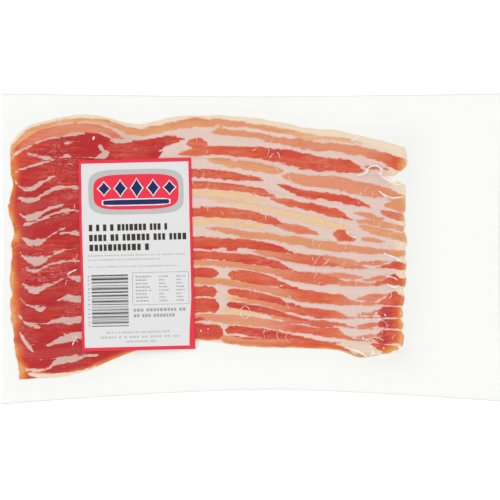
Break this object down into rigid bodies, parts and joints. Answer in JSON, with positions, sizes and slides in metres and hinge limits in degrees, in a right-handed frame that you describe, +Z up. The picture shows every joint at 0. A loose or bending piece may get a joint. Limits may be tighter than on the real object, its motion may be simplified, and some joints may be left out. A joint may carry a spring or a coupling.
{
  "type": "bacon_pack",
  "caption": "Flat clear vacuum pouch of shingled streaky bacon rashers with a rectangular paper label on its front, lying label up",
  "frame": {"origin": "Middle of the flat underside, on the surface the pack lies on", "axes": "+X runs along the rashers towards the empty end of the pouch, +Y across them towards the rasher that lies on top of the others, +Z up out of the labelled face"},
  "size_m": [0.323, 0.2, 0.0079],
  "materials": {
    "pouch": "clear glossy film drawn tight over red and pale bacon",
    "label": "satin coated label stock with printed panels"
  },
  "bodies": {
    "root": {"pouch": "pouch", "label": "label"}
  },
  "joints": []
}
